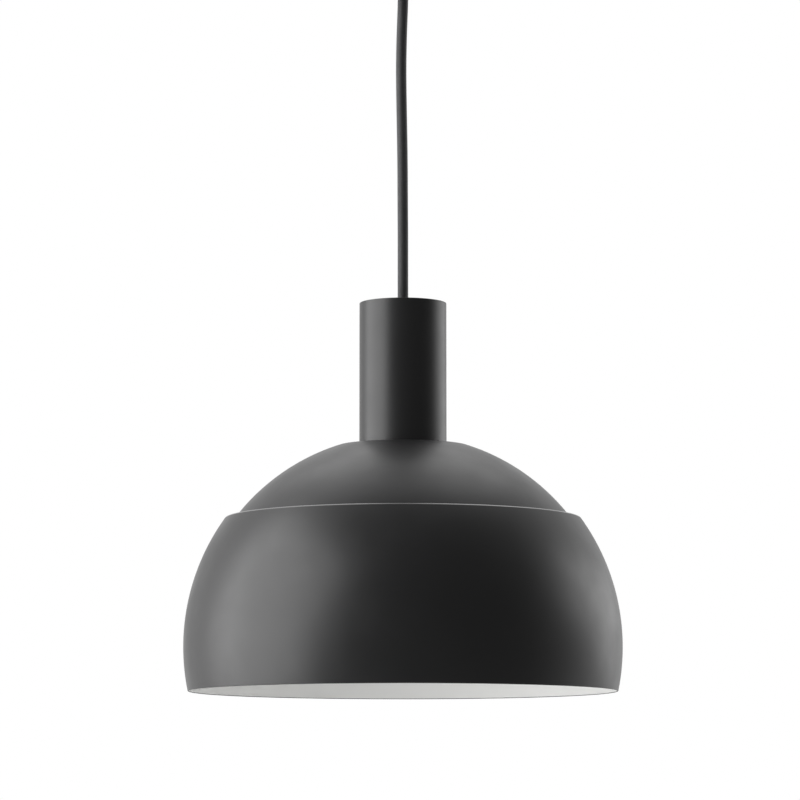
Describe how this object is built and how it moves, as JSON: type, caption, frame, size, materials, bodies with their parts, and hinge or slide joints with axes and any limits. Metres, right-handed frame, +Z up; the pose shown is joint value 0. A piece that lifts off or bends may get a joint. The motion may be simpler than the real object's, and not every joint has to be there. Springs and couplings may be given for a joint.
{
  "type": "pendant ceiling light",
  "caption": "Pendant light: a stepped dome shade, white inside, under a cylindrical hood, on a braided cord from a round ceiling cup.",
  "frame": {"origin": "on the ceiling, at the middle of the mounting bracket's top face", "axes": "+Z up, along the hanging axis; +X along the bracket's strap and its two slots"},
  "size_m": [0.38, 0.3798, 0.67],
  "materials": {
    "black_powder": "fine matt powder coat, black outside; the shade is white enamel inside",
    "black_screw": "blackened steel",
    "black_nylon": "moulded nylon",
    "black_holder": "moulded heat-resistant resin",
    "cord_braid": "braided textile over a round rubber core",
    "zinc_steel": "zinc plated",
    "brass": "plain",
    "nickel": "nickel plated",
    "white_nylon": "moulded nylon",
    "porcelain": "glazed porcelain",
    "brown_wire": "insulated wire",
    "blue_wire": "insulated wire",
    "green_wire": "insulated wire",
    "black_glass": "black glass",
    "bulb_white": "moulded housing",
    "frosted_glass": "frosted",
    "circuit_board": "white coated circuit board"
  },
  "bodies": {
    "ceiling": {"mounting_bracket": "zinc_steel", "terminal_block": "white_nylon", "terminal_tubes": "brass", "terminal_screws": "zinc_steel", "block_screw": "zinc_steel", "earth_screw": "brass", "ceiling_cup": "black_powder", "cup_screws": "black_screw", "ceiling_grip": "black_nylon", "grip_nut": "black_nylon", "grip_screw": "black_nylon", "cord_tail": "cord_braid", "live_wire_upper": "brown_wire", "neutral_wire_upper": "blue_wire", "earth_wire_upper": "green_wire"},
    "cord_bend": {"cord_neck": "cord_braid"},
    "lampholder": {"cord": "cord_braid", "lamp_grip": "black_nylon", "lamp_grip_screw": "black_nylon", "nipple": "zinc_steel", "nipple_nut": "zinc_steel", "holder_cap": "black_holder", "cap_earth_screw": "brass", "live_wire_lower": "brown_wire", "neutral_wire_lower": "blue_wire", "earth_wire_lower": "green_wire", "holder_insert": "porcelain", "insert_terminals": "brass", "insert_screws": "zinc_steel", "screw_shell": "brass", "shell_rivets": "brass", "holder_sleeve": "black_holder"},
    "hood": {"hood": "black_powder", "hood_bush": "black_nylon"},
    "shade": {"shade_dome": "black_powder", "shade_skirt": "black_powder"},
    "ring": {"shade_ring": "black_holder"},
    "contact": {"centre_contact": "brass"},
    "bulb": {"bulb_cap": "nickel", "bulb_insulator": "black_glass", "bulb_contact": "nickel", "bulb_body": "bulb_white", "bulb_globe": "frosted_glass", "led_board": "circuit_board", "driver_board": "circuit_board"}
  },
  "joints": [
    {"name": "swing_x", "type": "hinge", "parent": "ceiling", "child": "cord_bend", "pos_m": [0, 0, -0.05], "axis": [1, 0, 0], "range_deg": [-20, 20]},
    {"name": "swing_y", "type": "hinge", "parent": "cord_bend", "child": "lampholder", "pos_m": [0, 0, -0.057], "axis": [0, 1, 0], "range_deg": [-20, 20]},
    {"name": "hood_lift", "type": "slide", "parent": "lampholder", "child": "hood", "axis": [0, 0, 1], "range_m": [0, 0.06]},
    {"name": "shade_drop", "type": "slide", "parent": "lampholder", "child": "shade", "axis": [0, 0, 1], "range_m": [-0.005, 0]},
    {"name": "ring_turn", "type": "hinge", "parent": "shade", "child": "ring", "pos_m": [0, 0, -0.463], "axis": [0, 0, 1], "range_deg": [-722, 2]},
    {"name": "contact_travel", "type": "slide", "parent": "lampholder", "child": "contact", "axis": [0, 0, 1], "range_m": [-0.00185, 0.0001]},
    {"name": "bulb_turn", "type": "hinge", "parent": "contact", "child": "bulb", "pos_m": [0, 0, -0.52], "axis": [0, 0, 1], "range_deg": [-180, 0]}
  ],
  "couplings": [
    {"joint": "ring_turn", "follows": "shade_drop", "rad_per_m": 2513.3},
    {"joint": "contact_travel", "follows": "bulb_turn", "m_per_rad": 0.00057757}
  ]
}
